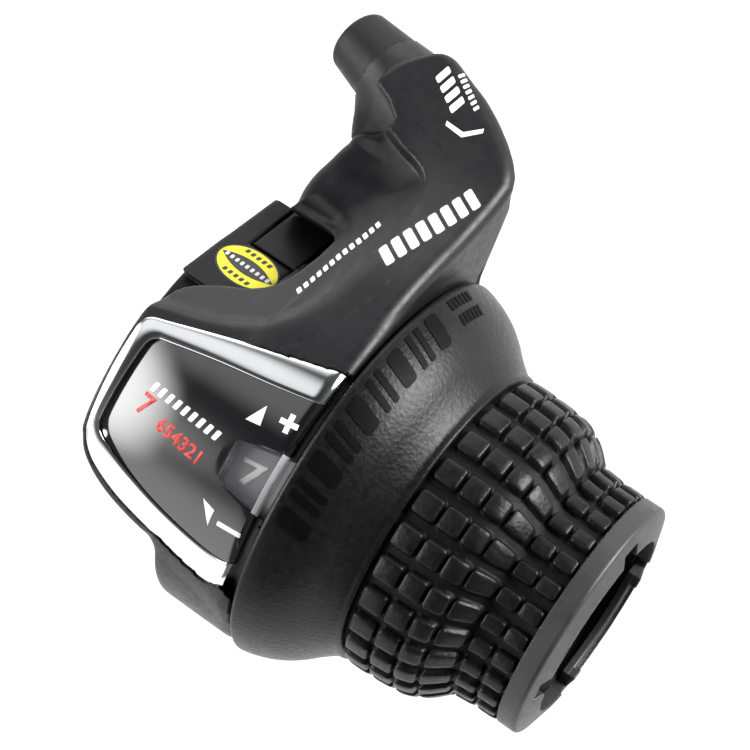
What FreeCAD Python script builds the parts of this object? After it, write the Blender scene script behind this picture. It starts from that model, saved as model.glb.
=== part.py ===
import FreeCAD, Part
import math
import os

# Right-hand twist-grip gear shifter for a 22.2 mm handlebar, seven positions.
# Millimetres. The origin is on the handlebar's axis at the middle of the clamp.
# +X runs along the bar towards its outer end, +Y forward, +Z up.

V = FreeCAD.Vector

# Handlebar and clamp
BAR_R = 11.1
CLAMP_R = BAR_R + 0.05
CLAMP_OUT_R = 18.5
CLAMP_X0 = -5.0
CLAMP_X1 = 4.8
LUG_Y = 21.8
SLIT_TOP = 0.0
SLIT_GAP = 1.2

# Housing shell round the bar
PART_Z = 2.0
SHELL_R = 26.4
CAVITY_R = 24.4
NECK_R = 19.5
DRUM_CAVITY_R = 18.2
HUB_X0 = 5.0
HUB_X1 = 8.0
DRUM_WALL_X0 = 10.5
DRUM_WALL_X1 = 12.5
RIM_X = 21.9
WINDOW_X0 = -2.6
WALL = 2.0

# Sleeve that the grip turns on
SLEEVE_IN_R = 11.4
SLEEVE_R = 12.2
SLEEVE_X1 = 54.0
TURN_R = SLEEVE_R + 0.06
RING_X = 51.6
RING_T = 1.0

# Turning parts
DRUM_X0 = 8.8
DRUM_X1 = 15.0
DRUM_R = 17.5
CABLE_R = 0.6
WIND_R = 14.0
CORE_R = 14.0
INDEX_R = 19.5
INDEX_X0 = 15.4
INDEX_X1 = 18.2
NUMBER_R = 24.0
CORE_X1 = 55.2
CORE_TUBE_R = 13.9
GRIP_X0 = 22.5
FLANGE_R = 26.7
GEARS = 7
CLICK = 12.0

# Grip blocks: rows round the bar, the first row's middle, and the grooves between them.
# Each ring of blocks is its start and end along the bar and its crown radius at each.
BLOCK_ROWS = 28
ROW_TURN = -3.9
GROOVE_TURN = 4.6
GROOVE_DEPTH = 1.05
BLOCKS = [(34.75, 37.9, 20.3, 20.25), (38.3, 41.15, 20.2, 20.0), (41.5, 44.1, 19.9, 19.2),
          (44.45, 47.3, 19.0, 16.8), (47.75, 50.4, 16.4, 16.1), (50.75, 53.45, 16.05, 15.95)]
RUBBER_X1 = 53.7

# Ring at the grip's end
MOUTH_X = 57.4
MOUTH_R = 12.0
RING_R = 15.9
RING_SEAT_X = 55.4
RING_NOTCH = 3.0
RING_LOW_X = 56.45
RING_LOW_R = 13.4
RING_LOW_TURN = 56.0

# Detent
ROLLER_R = 1.5
ROLLER_AT_R = INDEX_R + ROLLER_R + 0.05
NOTCH_R = 1.7
NOTCH_AT_R = 20.5
PIN_R = 0.8
PIN_AT_R = 21.2
PIN_TURN = 205.0
SPRING_R = 1.2
SPRING_WIRE_R = 0.24
SPRING_PITCH = 0.42
SPRING_TURNS = 6
LEVER_X0 = 13.2
LEVER_X1 = 14.9
AXLE_R = 0.6

# Cable outlet: its base on the arm, its direction and its length
OUTLET = V(-1.75, 42.7, 3.9)
OUTLET_DIR = V(-0.95, 0.235, -0.13).normalize()
OUTLET_L = 6.6
OUTLET_BASE_R = 5.1
OUTLET_END_R = 4.15
SPIGOT_R = 3.4
SPIGOT_L = 4.5
CASING_R = 2.6
FERRULE_R = 3.1
GUIDE_R = 1.5
GUIDE_BORE_R = 0.8
GUIDE_BEND_R = 9.0
GUIDE_Y0 = 15.4
CABLE_X = 11.2

# Indicator: outlines in plan, as (X, Y)
BEZEL_PLAN = [(-2.1, 1.5), (-2.0, -13.0), (-1.2, -15.0), (2.0, -17.4), (6.0, -18.7), (18.4, -20.9),
              (RIM_X, -21.3), (RIM_X, 8.9)]
LENS_PLAN = [(0.3, 0.0), (-0.6, -11.2), (0.6, -12.9), (5.1, -14.7), (10.3, -16.4), (16.5, -17.4),
             (RIM_X, -17.8), (RIM_X, 3.9), (12.3, 2.5)]
NUMBER_PLAN = [(15.2, -4.2), (15.2, -9.4), (RIM_X, -10.5), (RIM_X, -2.5)]
SEAT_R = 25.0
BEZEL_R = 26.6
LENS_R = 26.3

# Housing outlines in plan
HEAD_PLAN = [(-2.6, -12.5), (-2.1, -14.2), (-0.9, -16.2), (2.0, -18.1), (6.0, -19.4), (18.5, -21.9),
             (RIM_X, -22.6), (RIM_X, 18.0), (7.6, 18.0), (6.3, 12.9), (4.2, 10.7), (1.0, 8.9), (-1.7, 6.6),
             (-2.6, 1.5)]
HEAD_HOLLOW = [(-0.2, -12.2), (5.0, -16.8), (DRUM_WALL_X1, -18.4), (DRUM_WALL_X1, 8.0), (5.0, 7.0),
               (-0.2, 3.5)]
ARM_EDGE = [(4.9, 37.0), (1.3, 39.4), (0.2, 40.4), (1.15, 43.6), (4.2, 47.0), (7.0, 47.3), (12.4, 45.3),
            (18.0, 42.0), (21.0, 39.2), (RIM_X, 36.0)]
ARM_ROOT = [(RIM_X, 5.0), (8.0, 5.0), (7.9, 20.4), (8.6, 31.0)]
ARM_POCKET = [(13.8, 31.0), (18.6, 31.0), (18.6, 33.0), (16.4, 38.6), (13.2, 41.8), (13.6, 36.0)]
ARM_BOTTOM = -6.0
ARM_TOP = [(5.0, 25.9), (8.0, 25.2), (14.0, 23.4), (20.5, 20.9), (26.0, 17.8), (30.0, 15.2), (36.0, 12.4),
           (44.0, 10.3), (48.5, 9.6)]
HEEL_PLAN = [(-2.2, 36.7), (-2.0, 35.2), (-0.6, 33.0), (6.0, 33.0), (7.0, 40.0), (0.0, 40.0)]
HEEL_TOP = 5.0
LOBE_X = 3.5
LOBE_PROFILE = [(22.2, 5.6), (26.5, 7.3), (32.0, 6.4), (38.0, 5.4), (43.0, 4.0)]

# The arm's underside slopes up towards its rim side and its tip: height at UNDER_AT and rise per millimetre
UNDER_AT = (15.0, 26.0)
UNDER_RISE_X = 0.65
UNDER_RISE_Y = 0.79

# Fasteners: screw places as (X, Y, head seat Z, tip Z)
SCREWS = [(6.7, -16.6, -8.5, 9.0), (16.4, 29.4, -0.4, 9.0), (1.2, 29.0, -5.2, 4.6)]
SCREW_R = 0.9
SCREW_HEAD_R = 1.7
SCREW_HEAD_H = 1.5
SCREW_POST_R = 2.6
BOLT_AT = (0.4, 18.3)
BOLT_R = 2.5
BOLT_HEAD_R = 4.1
BOLT_HEAD_H = 3.6
BOLT_SEAT_Z = -8.0
BOLT_TIP_Z = 4.5


def tube(r_in, r_out, x0, x1):
    """A ring about the bar's axis, or a disc where r_in is zero."""
    ring = Part.makeCylinder(r_out, x1 - x0, V(x0, 0, 0), V(1, 0, 0))
    if r_in > 0:
        ring = ring.cut(Part.makeCylinder(r_in, x1 - x0 + 2, V(x0 - 1, 0, 0), V(1, 0, 0)))
    return ring


def face_of(points):
    return Part.Face(Part.makePolygon(points + [points[0]]))


def plan_prism(outline, z0, z1):
    """An outline in plan, carried from z0 up to z1."""
    return face_of([V(x, y, z0) for x, y in outline]).extrude(V(0, 0, z1 - z0))


def side_prism(outline, x0, x1):
    """A (Y, Z) outline carried along the bar from x0 to x1."""
    return face_of([V(x0, y, z) for y, z in outline]).extrude(V(x1 - x0, 0, 0))


def turned(profile):
    """An (X, radius) profile turned about the bar's axis."""
    return face_of([V(x, 0, r) for x, r in profile]).revolve(V(0, 0, 0), V(1, 0, 0), 360)


def around(shape, degrees):
    """A copy turned about the bar: positive goes from the top towards the rider."""
    copy = shape.copy()
    copy.rotate(V(0, 0, 0), V(1, 0, 0), degrees)
    return copy


def sector(profile, middle, width):
    """An (X, radius) profile carried round the bar over width degrees about a middle angle."""
    swept = face_of([V(x, 0, r) for x, r in profile]).revolve(V(0, 0, 0), V(1, 0, 0), width)
    return around(swept, middle - width / 2)


def place(x, r, degrees):
    """The point at radius r, turned by degrees from straight up towards the rider."""
    a = math.radians(degrees)
    return V(x, -r * math.sin(a), r * math.cos(a))


def rod(r, start, end):
    return Part.makeCylinder(r, (end - start).Length, start, end - start)


def along_outlet(s):
    return OUTLET + OUTLET_DIR * s


def save(name, shape):
    shape = shape.removeSplitter()
    solids = shape.Solids
    result = solids[0] if len(solids) == 1 else Part.makeCompound(solids)
    result.exportStep("parts/" + name + ".step")
    print(name, len(solids), round(shape.Volume, 1), shape.isValid())


# ---------------------------------------------------------------- cable route

def guide_path():
    """From beside the winding groove, tangent to it, round one bend and into the outlet."""
    s = (CABLE_X - OUTLET.x) / OUTLET_DIR.x
    corner = along_outlet(s)
    reach = math.hypot(corner.y, corner.z)
    lean = math.atan2(corner.y, corner.z) - math.acos(WIND_R / reach)
    touch = V(CABLE_X, WIND_R * math.sin(lean), WIND_R * math.cos(lean))
    first = (corner - touch).normalize()
    start = touch + first * ((GUIDE_Y0 - touch.y) / first.y)
    turn = first.getAngle(OUTLET_DIR)
    back = GUIDE_BEND_R * math.tan(turn / 2)
    bend_in = corner - first * back
    bend_out = corner + OUTLET_DIR * back
    inward = (bend_in + bend_out) * 0.5 - corner
    centre = corner + inward.normalize() * math.hypot(GUIDE_BEND_R, back)
    middle = centre + (corner - centre).normalize() * GUIDE_BEND_R
    end = along_outlet(-0.2)
    edges = [Part.LineSegment(start, bend_in).toShape(),
             Part.Arc(bend_in, middle, bend_out).toShape(),
             Part.LineSegment(bend_out, end).toShape()]
    return Part.Wire(edges), start, first, touch


def pipe(path, start, direction, radius):
    ring = Part.Wire(Part.makeCircle(radius, start, direction))
    return path.makePipeShell([ring], True, True)


# ---------------------------------------------------------------- housing

def lobe_round():
    """The rounded bulge beside the arm, round an axis along Y."""
    profile = [V(LOBE_X, y, r) for y, r in LOBE_PROFILE]
    curve = Part.BSplineCurve()
    curve.interpolate(profile)
    first = LOBE_PROFILE[0][0]
    last = LOBE_PROFILE[-1][0]
    sides = [Part.LineSegment(profile[-1], V(LOBE_X, last, 0)).toShape(),
             Part.LineSegment(V(LOBE_X, last, 0), V(LOBE_X, first, 0)).toShape(),
             Part.LineSegment(V(LOBE_X, first, 0), profile[0]).toShape()]
    face = Part.Face(Part.Wire([curve.toShape()] + sides))
    return face.revolve(V(LOBE_X, 0, 0), V(0, 1, 0), 360)


def arm_outline():
    """The arm in plan: its free edge is one smooth curve."""
    edge = [V(x, y, -20) for x, y in ARM_EDGE]
    root = [V(x, y, -20) for x, y in ARM_ROOT]
    curve = Part.BSplineCurve()
    curve.interpolate(edge)
    straight = Part.makePolygon([edge[-1]] + root + [edge[0]])
    return Part.Face(Part.Wire([curve.toShape()] + straight.Edges)).extrude(V(0, 0, 60))


def arm_slab(lowered):
    """Everything between the arm's underside and its top, both moved in by lowered."""
    outline = [(y, z - lowered) for y, z in ARM_TOP]
    outline += [(ARM_TOP[-1][0], ARM_BOTTOM + lowered), (ARM_TOP[0][0], ARM_BOTTOM + lowered)]
    slab = side_prism(outline, -10, 30)
    slope = V(-UNDER_RISE_X, -UNDER_RISE_Y, 1).normalize()
    below = Part.makeBox(120, 120, 60, V(-60, -60, -60))
    below.Placement = FreeCAD.Placement(V(UNDER_AT[0], UNDER_AT[1], ARM_BOTTOM) + slope * lowered,
                                        FreeCAD.Rotation(V(0, 0, 1), slope))
    return slab.cut(below.common(Part.makeBox(60, 60, 60, V(10, 24, -30))))


def outlet_boss():
    """The arm's round end that the outlet stands on."""
    return Part.makeCone(OUTLET_BASE_R + 0.75, OUTLET_BASE_R, 5, along_outlet(-5), OUTLET_DIR)


def band_envelope(grow):
    """The clamp band's outside with its lugs, grown by a clearance."""
    r = CLAMP_OUT_R + grow
    edge = LUG_Y + grow
    flat = r * math.sin(math.radians(45))
    lugs = [(flat, flat), (edge, 2 * flat - edge), (edge, -13.0 - grow), (8.0, -13.0 - grow), (8.0, 8.0)]
    return tube(0, r, CLAMP_X0 - grow, CLAMP_X1).fuse(side_prism(lugs, CLAMP_X0 - grow, CLAMP_X1))


def outlet_outside():
    boss = Part.makeCone(OUTLET_BASE_R, OUTLET_END_R, OUTLET_L + 1, along_outlet(-1), OUTLET_DIR)
    rim = [edge for edge in boss.Edges if edge.CenterOfMass.distanceToPoint(along_outlet(OUTLET_L)) < 0.01]
    boss = boss.makeFillet(0.9, rim)
    return boss.fuse(rod(SPIGOT_R, along_outlet(-SPIGOT_L), along_outlet(-0.5)))


def housing():
    head = plan_prism(HEAD_PLAN, -2.0, 30).common(tube(0, SHELL_R, WINDOW_X0, RIM_X))
    drum = tube(0, SHELL_R, DRUM_WALL_X0, RIM_X)
    neck = tube(0, NECK_R, HUB_X0, DRUM_WALL_X0)
    arm = arm_outline().common(arm_slab(0))
    heel = plan_prism(HEEL_PLAN, ARM_BOTTOM, HEEL_TOP)
    body = drum.fuse([head, neck, arm, heel, lobe_round(), outlet_boss()])
    body = body.cut(band_envelope(0.3))

    hollow = tube(0, CAVITY_R, DRUM_WALL_X1, RIM_X + 5)
    hollow = hollow.fuse(tube(0, DRUM_CAVITY_R, HUB_X1, DRUM_WALL_X1))
    head_hollow = plan_prism(HEAD_HOLLOW, 5, 30).common(tube(NECK_R + WALL / 2, CAVITY_R, -1, DRUM_WALL_X1))
    pocket = plan_prism(ARM_POCKET, -20, 40).common(arm_slab(WALL))
    post = Part.makeCylinder(SCREW_POST_R, 60, V(SCREWS[1][0], SCREWS[1][1], -30))
    hollow = hollow.fuse([head_hollow, pocket.cut(post)])
    hollow = hollow.fuse(Part.makeCylinder(SLEEVE_R, 20, V(HUB_X0 - 1, 0, 0), V(1, 0, 0)))
    body = body.cut(hollow).cut(outlet_outside())
    path, start, first, touch = guide_path()
    body = body.cut(pipe(path, start, first, GUIDE_R)).cut(rod(GUIDE_R, touch + first * 4, start))

    seat = plan_prism(BEZEL_PLAN, 5, 40).common(tube(SEAT_R, SHELL_R + 2, -5, RIM_X + 1))
    sight = plan_prism(NUMBER_PLAN, 5, 40).cut(tube(0, 20, -5, 30))
    return body.cut(seat).cut(sight)


def screw_cutter(x, y, seat_z, tip_z):
    """The screw's clearance hole and head recess below the parting plane, its thread hole above."""
    hole = Part.makeCylinder(SCREW_R, tip_z - seat_z, V(x, y, seat_z))
    recess = Part.makeCylinder(SCREW_HEAD_R + 0.1, 12, V(x, y, seat_z - 12))
    return hole.fuse(recess)


def split_housing():
    whole = housing()
    for screw in SCREWS:
        whole = whole.cut(screw_cutter(*screw))
    whole = whole.cut(rod(PIN_R, pin_axis(DRUM_WALL_X0 - 1), pin_axis(DRUM_WALL_X1 + 1)))
    above = Part.makeBox(80, 120, 60, V(-20, -60, PART_Z))
    return whole.common(above), whole.cut(above)


# ---------------------------------------------------------------- clamp

def clamp_plate():
    top = 2 * CLAMP_OUT_R * math.sin(math.radians(45))
    y0 = 15.3
    y1 = LUG_Y - 0.1
    outline = [(y0, 1.5), (y1, 1.5), (y1, top - y1), (y0, top - y0)]
    return side_prism(outline, -1.8, CLAMP_X1)


def thread_hole():
    return Part.makeCylinder(BOLT_R, BOLT_TIP_Z + 2.1, V(BOLT_AT[0], BOLT_AT[1], -2.0))


def clamp_bolt_outside():
    shank = Part.makeCylinder(BOLT_R, BOLT_TIP_Z - BOLT_SEAT_Z, V(BOLT_AT[0], BOLT_AT[1], BOLT_SEAT_Z))
    head = Part.makeCylinder(BOLT_HEAD_R, BOLT_HEAD_H, V(BOLT_AT[0], BOLT_AT[1], BOLT_SEAT_Z - BOLT_HEAD_H))
    return shank.fuse(head)


def clamp_band():
    band = band_envelope(0).cut(tube(0, CLAMP_R, CLAMP_X0 - 1, CLAMP_X1 + 1))
    band = band.cut(Part.makeBox(12, 20, SLIT_GAP, V(CLAMP_X0 - 1, 5, SLIT_TOP - SLIT_GAP)))
    band = band.cut(clamp_plate())
    head_room = Part.makeCylinder(BOLT_HEAD_R + 0.2, 12, V(BOLT_AT[0], BOLT_AT[1], BOLT_SEAT_Z - 12))
    shank_room = Part.makeCylinder(BOLT_R + 0.2, BOLT_TIP_Z - BOLT_SEAT_Z + 1.1,
                                   V(BOLT_AT[0], BOLT_AT[1], BOLT_SEAT_Z - 1))
    return band.cut(head_room).cut(shank_room)


def hex_socket(x, y, z, across, depth):
    r = across / math.sqrt(3)
    turns = [math.radians(60 * i) for i in range(6)]
    return plan_prism([(x + r * math.cos(a), y + r * math.sin(a)) for a in turns], z, z + depth)


def clamp_bolt():
    bottom = BOLT_SEAT_Z - BOLT_HEAD_H
    return clamp_bolt_outside().cut(hex_socket(BOLT_AT[0], BOLT_AT[1], bottom, 4.0, 2.4))


def oval_label():
    oval = Part.Ellipse(V(0.3, 12.2, 0), 4.1, 2.5).toShape()
    slab = Part.Face(Part.Wire(oval)).extrude(V(0, 0, 30))
    return slab.common(band_envelope(0.15)).cut(band_envelope(0))


def cover_screw(x, y, seat_z, tip_z):
    shank = Part.makeCylinder(SCREW_R, tip_z - seat_z, V(x, y, seat_z))
    head = Part.makeCylinder(SCREW_HEAD_R, SCREW_HEAD_H, V(x, y, seat_z - SCREW_HEAD_H))
    cross = Part.makeBox(2.2, 0.5, 0.9, V(x - 1.1, y - 0.25, seat_z - SCREW_HEAD_H))
    other = Part.makeBox(0.5, 2.2, 0.9, V(x - 0.25, y - 1.1, seat_z - SCREW_HEAD_H))
    return shank.fuse(head).cut(cross).cut(other)


# ---------------------------------------------------------------- indicator

def indicator_shell(r0, r1, outline):
    return plan_prism(outline, 5, 40).common(tube(r0, r1, -5, RIM_X))


def indicator_bezel():
    return indicator_shell(SEAT_R, BEZEL_R, BEZEL_PLAN).cut(plan_prism(LENS_PLAN, 5, 40))


def indicator_lens():
    return indicator_shell(SEAT_R, LENS_R, LENS_PLAN).cut(plan_prism(NUMBER_PLAN, 5, 40))


def number_window():
    return indicator_shell(CAVITY_R + 0.1, LENS_R, NUMBER_PLAN)


# ---------------------------------------------------------------- cable outlet

def cable_outlet():
    outside = outlet_outside()
    bore = rod(FERRULE_R, along_outlet(-0.2), along_outlet(OUTLET_L + 1))
    guide_bore = rod(GUIDE_R, along_outlet(-SPIGOT_L - 1), along_outlet(0))
    return outside.cut(bore).cut(guide_bore)


def outlet_ferrule():
    bush = rod(FERRULE_R, along_outlet(-0.2), along_outlet(OUTLET_L - 0.4))
    socket = rod(CASING_R, along_outlet(0.6), along_outlet(OUTLET_L + 1))
    return bush.cut(socket).cut(rod(GUIDE_BORE_R, along_outlet(-1), along_outlet(1)))


def cable_guide():
    path, start, first, touch = guide_path()
    return pipe(path, start, first, GUIDE_R).cut(pipe(path, start, first, GUIDE_BORE_R))


# ---------------------------------------------------------------- grip side

def drive_dogs():
    """Three tabs that lock the cable drum to the grip's core."""
    ring = tube(12.8, 13.5, DRUM_X1 - 0.5, DRUM_X1 + 2)
    dogs = []
    for i in range(3):
        block = Part.makeBox(4, 7, 20, V(DRUM_X1 - 1, -3.5, 5))
        dogs.append(around(block, 120 * i).common(ring))
    return dogs[0].fuse(dogs[1:])


def cable_drum():
    floor_r = WIND_R - CABLE_R
    groove0 = CABLE_X - 1.2
    groove1 = CABLE_X + 1.2
    spool = turned([(DRUM_X0, TURN_R), (DRUM_X0, DRUM_R), (groove0, DRUM_R), (groove0 + 0.5, floor_r),
                    (groove1 - 0.5, floor_r), (groove1, DRUM_R), (DRUM_X1, DRUM_R), (DRUM_X1, TURN_R)])
    pocket = rod(2.3, place(CABLE_X, 15.9, 250), place(DRUM_X1 + 1, 15.9, 250))
    return spool.cut(pocket).fuse(drive_dogs())


def grip_core():
    core = turned([(DRUM_X1, TURN_R), (DRUM_X1, CORE_R), (22.0, CORE_R), (22.0, 24.2), (23.4, 24.2),
                   (28.0, 22.0), (33.4, 17.4), (43.0, 17.0), (47.0, CORE_TUBE_R), (CORE_X1, CORE_TUBE_R),
                   (CORE_X1, 13.2), (RING_X - 0.1, 13.2), (RING_X - 0.1, TURN_R)])
    hollow = turned([(21.9, 15.6), (21.9, 22.4), (23.6, 22.4), (27.2, 20.4), (31.5, 16.6), (31.5, 15.6)])
    return core.cut(hollow).cut(drive_dogs())


def grip_rubber():
    dome = Part.Arc(V(23.2, 0, FLANGE_R), V(29.9, 0, 23.6), V(33.5, 0, 20.4)).toShape()
    points = [(33.5, 20.4), (34.35, 20.3), (34.4, 20.3 - GROOVE_DEPTH)]
    floor = [(34.4, 20.35 - GROOVE_DEPTH)]
    for x0, x1, r0, r1 in BLOCKS:
        points += [(x0, r0 - GROOVE_DEPTH), (x0, r0), (x1, r1), (x1, r1 - GROOVE_DEPTH)]
        floor += [(x0, r0 - GROOVE_DEPTH + 0.05), (x1, r1 - GROOVE_DEPTH + 0.05)]
    end_r = BLOCKS[-1][3] - GROOVE_DEPTH
    points += [(RUBBER_X1, end_r), (RUBBER_X1, CORE_TUBE_R), (47.0, CORE_TUBE_R), (43.0, 17.0), (33.4, 17.4),
               (28.0, 22.0), (23.4, 24.2), (GRIP_X0, 24.2), (GRIP_X0, FLANGE_R - 0.4), (23.2, FLANGE_R)]
    outline = Part.makePolygon([V(x, 0, r) for x, r in points])
    body = Part.Face(Part.Wire([dome] + outline.Edges)).revolve(V(0, 0, 0), V(1, 0, 0), 360)
    groove = floor + [(RUBBER_X1 + 1, end_r + 0.05), (RUBBER_X1 + 1, FLANGE_R), (34.4, FLANGE_R)]
    row = 360.0 / BLOCK_ROWS
    cutters = [sector(groove, ROW_TURN + row * (i + 0.5), GROOVE_TURN) for i in range(BLOCK_ROWS)]
    return body.cut(Part.makeCompound(cutters))


def grip_end_ring():
    """The ring's sloping face with four notches, and a lower step across the bottom of its mouth."""
    ring = turned([(RUBBER_X1, CORE_TUBE_R), (RUBBER_X1, RING_R), (56.0, RING_R), (56.45, 15.5),
                   (MOUTH_X, MOUTH_R), (RING_SEAT_X, MOUTH_R), (RING_SEAT_X, CORE_TUBE_R)])
    notch = Part.makeBox(5, RING_NOTCH, CORE_TUBE_R, V(RING_SEAT_X - 0.5, -RING_NOTCH / 2, 0))
    notches = [around(notch, 45 + 90 * i) for i in range(4)]
    notches = Part.makeCompound(notches).common(tube(0, CORE_TUBE_R, RING_SEAT_X - 0.5, MOUTH_X + 1))
    low = sector([(RING_LOW_X, 0.0), (RING_LOW_X, RING_LOW_R), (MOUTH_X + 1, RING_LOW_R), (MOUTH_X + 1, 0.0)],
                 180, RING_LOW_TURN)
    return ring.cut(notches).cut(low)


def number_ring():
    return tube(22.9, NUMBER_R, INDEX_X0, 22.0).fuse(tube(CORE_R, 23.0, 20.8, 22.0))


def detent_ring():
    ring = tube(CORE_R, INDEX_R, INDEX_X0, INDEX_X1)
    for i in range(GEARS):
        turn = 180 - CLICK * i
        notch = rod(NOTCH_R, place(INDEX_X0 - 1, NOTCH_AT_R, turn), place(INDEX_X1 + 1, NOTCH_AT_R, turn))
        ring = ring.cut(notch)
    return ring


# ---------------------------------------------------------------- detent

def roller_axis(x):
    return place(x, ROLLER_AT_R, 180)


def pin_axis(x):
    return place(x, PIN_AT_R, PIN_TURN)


def detent_lever():
    pivot = rod(2.0, pin_axis(LEVER_X0), pin_axis(LEVER_X1))
    tip = rod(1.35, roller_axis(LEVER_X0), roller_axis(LEVER_X1))
    a = pin_axis(0)
    b = roller_axis(0)
    side = V(0, -(b.z - a.z), b.y - a.y).normalize()
    corners = [a + side * 1.7, b + side * 1.2, b - side * 1.2, a - side * 1.7]
    web = side_prism([(p.y, p.z) for p in corners], LEVER_X0, LEVER_X1)
    lever = pivot.fuse([tip, web])
    pin_hole = rod(PIN_R + 0.03, pin_axis(LEVER_X0 - 1), pin_axis(LEVER_X1 + 1))
    axle_hole = rod(AXLE_R, roller_axis(LEVER_X0 - 1), roller_axis(LEVER_X1 + 1))
    return lever.cut(pin_hole).cut(axle_hole)


def detent_roller():
    return rod(ROLLER_R, roller_axis(15.3), roller_axis(18.0)).cut(
        rod(AXLE_R + 0.03, roller_axis(15.0), roller_axis(18.5)))


def detent_pin():
    return rod(PIN_R, pin_axis(DRUM_WALL_X0), pin_axis(19.0))


def detent_spring():
    """A close-wound torsion spring: its turns lie against each other round the pin."""
    turns = []
    for i in range(SPRING_TURNS):
        turns.append(Part.makeTorus(SPRING_R, SPRING_WIRE_R, pin_axis(15.4 + i * SPRING_PITCH), V(1, 0, 0)))
    return turns[0].fuse(turns[1:])


# ---------------------------------------------------------------- fixed rings

def bar_sleeve():
    sleeve = tube(SLEEVE_IN_R, SLEEVE_R, HUB_X0, SLEEVE_X1)
    return sleeve.cut(tube(SLEEVE_R - 0.4, SLEEVE_R + 1, RING_X, RING_X + RING_T))


def retaining_ring():
    ring = tube(SLEEVE_R - 0.4, 12.95, RING_X, RING_X + RING_T)
    return ring.cut(Part.makeBox(RING_T + 2, 3, 5, V(RING_X - 1, -1.5, -15)))


def main():
    os.makedirs("parts", exist_ok=True)
    cover, base = split_housing()
    save("top_cover", cover)
    save("bracket_base", base)
    save("clamp_band", clamp_band())
    save("clamp_plate", clamp_plate().cut(thread_hole()))
    save("clamp_bolt", clamp_bolt())
    save("oval_label", oval_label())
    save("cover_screws", Part.makeCompound([cover_screw(*screw) for screw in SCREWS]))
    save("indicator_bezel", indicator_bezel())
    save("indicator_lens", indicator_lens())
    save("number_window", number_window())
    save("cable_outlet", cable_outlet())
    save("outlet_ferrule", outlet_ferrule())
    save("cable_guide", cable_guide())
    save("bar_sleeve", bar_sleeve())
    save("retaining_ring", retaining_ring())
    save("thrust_washer", tube(SLEEVE_R, 17.0, HUB_X1, DRUM_X0 - 0.1))
    save("cable_drum", cable_drum())
    save("grip_core", grip_core())
    save("grip_rubber", grip_rubber())
    save("grip_end_ring", grip_end_ring())
    save("number_ring", number_ring())
    save("detent_ring", detent_ring())
    save("detent_lever", detent_lever())
    save("roller_axle", rod(AXLE_R, roller_axis(LEVER_X0), roller_axis(18.2)))
    save("detent_roller", detent_roller())
    save("detent_pin", detent_pin())
    save("detent_spring", detent_spring())


main()
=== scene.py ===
import math

import bmesh
import bpy
import numpy as np
from mathutils import Matrix, Vector
from mathutils.geometry import delaunay_2d_cdt


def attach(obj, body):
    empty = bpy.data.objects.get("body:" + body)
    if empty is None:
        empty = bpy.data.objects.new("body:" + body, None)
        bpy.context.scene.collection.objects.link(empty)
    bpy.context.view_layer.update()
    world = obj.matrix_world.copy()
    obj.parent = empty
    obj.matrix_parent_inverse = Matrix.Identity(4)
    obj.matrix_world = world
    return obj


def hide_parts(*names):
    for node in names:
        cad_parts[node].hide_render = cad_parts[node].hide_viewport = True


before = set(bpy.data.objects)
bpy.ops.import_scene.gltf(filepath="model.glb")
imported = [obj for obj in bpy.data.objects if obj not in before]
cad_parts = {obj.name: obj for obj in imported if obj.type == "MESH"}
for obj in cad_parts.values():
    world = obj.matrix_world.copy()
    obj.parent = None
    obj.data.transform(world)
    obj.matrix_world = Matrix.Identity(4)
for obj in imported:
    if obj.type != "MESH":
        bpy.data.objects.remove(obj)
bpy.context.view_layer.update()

# Right-hand twist-grip shifter. Shapes below are worked out in millimetres in the CAD's own frame:
# origin on the handlebar's axis at the clamp, +X towards the grip's end, +Y forward, +Z up.
MM = 0.001

# Housing
SHELL_R = 26.4
CAVITY_R = 24.4
CAVITY_X = 12.5
DRUM_X0 = 10.5
RIM_X = 21.9
PART_Z = 2.0
NECK_R = 19.5
NECK_X0 = 5.0
BAND_R = 18.5
BAND_X0 = -5.0
BAND_X1 = 4.8
BAND_BORE_R = 11.15
LUG_Y = 21.8
ARM_FLOOR = -6.0
UNDER_AT = (15.0, 26.0)
UNDER_RISE = (0.65, 0.79)
SCREWS = [(6.7, -16.6, -8.5), (16.4, 29.4, -0.4), (1.2, 29.0, -5.2)]

# Indicator
SEAT_R = 25.0
BEZEL_TOP_R = 26.42
LENS_TOP_R = 26.24
BEVEL_X = 20.4
BEVEL_DROP = 1.2
LENS_DIP = 0.75
LENS_DIP_X = 8.0
LENS_DIP_LENGTH = 8.6

# Grip
FLANGE_X = 22.5
BLOCK_ROWS = 28
NUMBER_R = 24.0
WINDOW_TURN = 16.5
CLICK = 12.0

# Cable outlet
OUTLET = np.array([-1.75, 42.7, 3.9])
OUTLET_DIR = np.array([-0.95, 0.235, -0.13])
OUTLET_DIR = OUTLET_DIR / np.linalg.norm(OUTLET_DIR)
OUTLET_L = 6.6
OUTLET_BASE_R = 5.1
OUTLET_END_R = 4.15

LOBE_MIDDLE = (0.0, 28.0, 7.5)
GRIP_BODY = "twist_grip"
FIXED_BODY = "bracket"


# ------------------------------------------------------------------ curves and distances

def smooth_line(points, per=6, closed=False):
    """A Catmull-Rom curve through the points, with per samples in each span."""
    p = np.asarray(points, float)
    n = len(p)
    spans = n if closed else n - 1
    out = []
    for i in range(spans):
        a, b = p[i], p[(i + 1) % n]
        before = p[(i - 1) % n] if (closed or i > 0) else 2 * a - b
        after = p[(i + 2) % n] if (closed or i < n - 2) else 2 * b - a
        t = np.arange(per)[:, None] / per
        out.append(0.5 * (2 * a + (b - before) * t + (2 * before - 5 * a + 4 * b - after) * t ** 2
                          + (3 * a - before - 3 * b + after) * t ** 3))
    if not closed:
        out.append(p[-1:])
    return np.concatenate(out)


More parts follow.
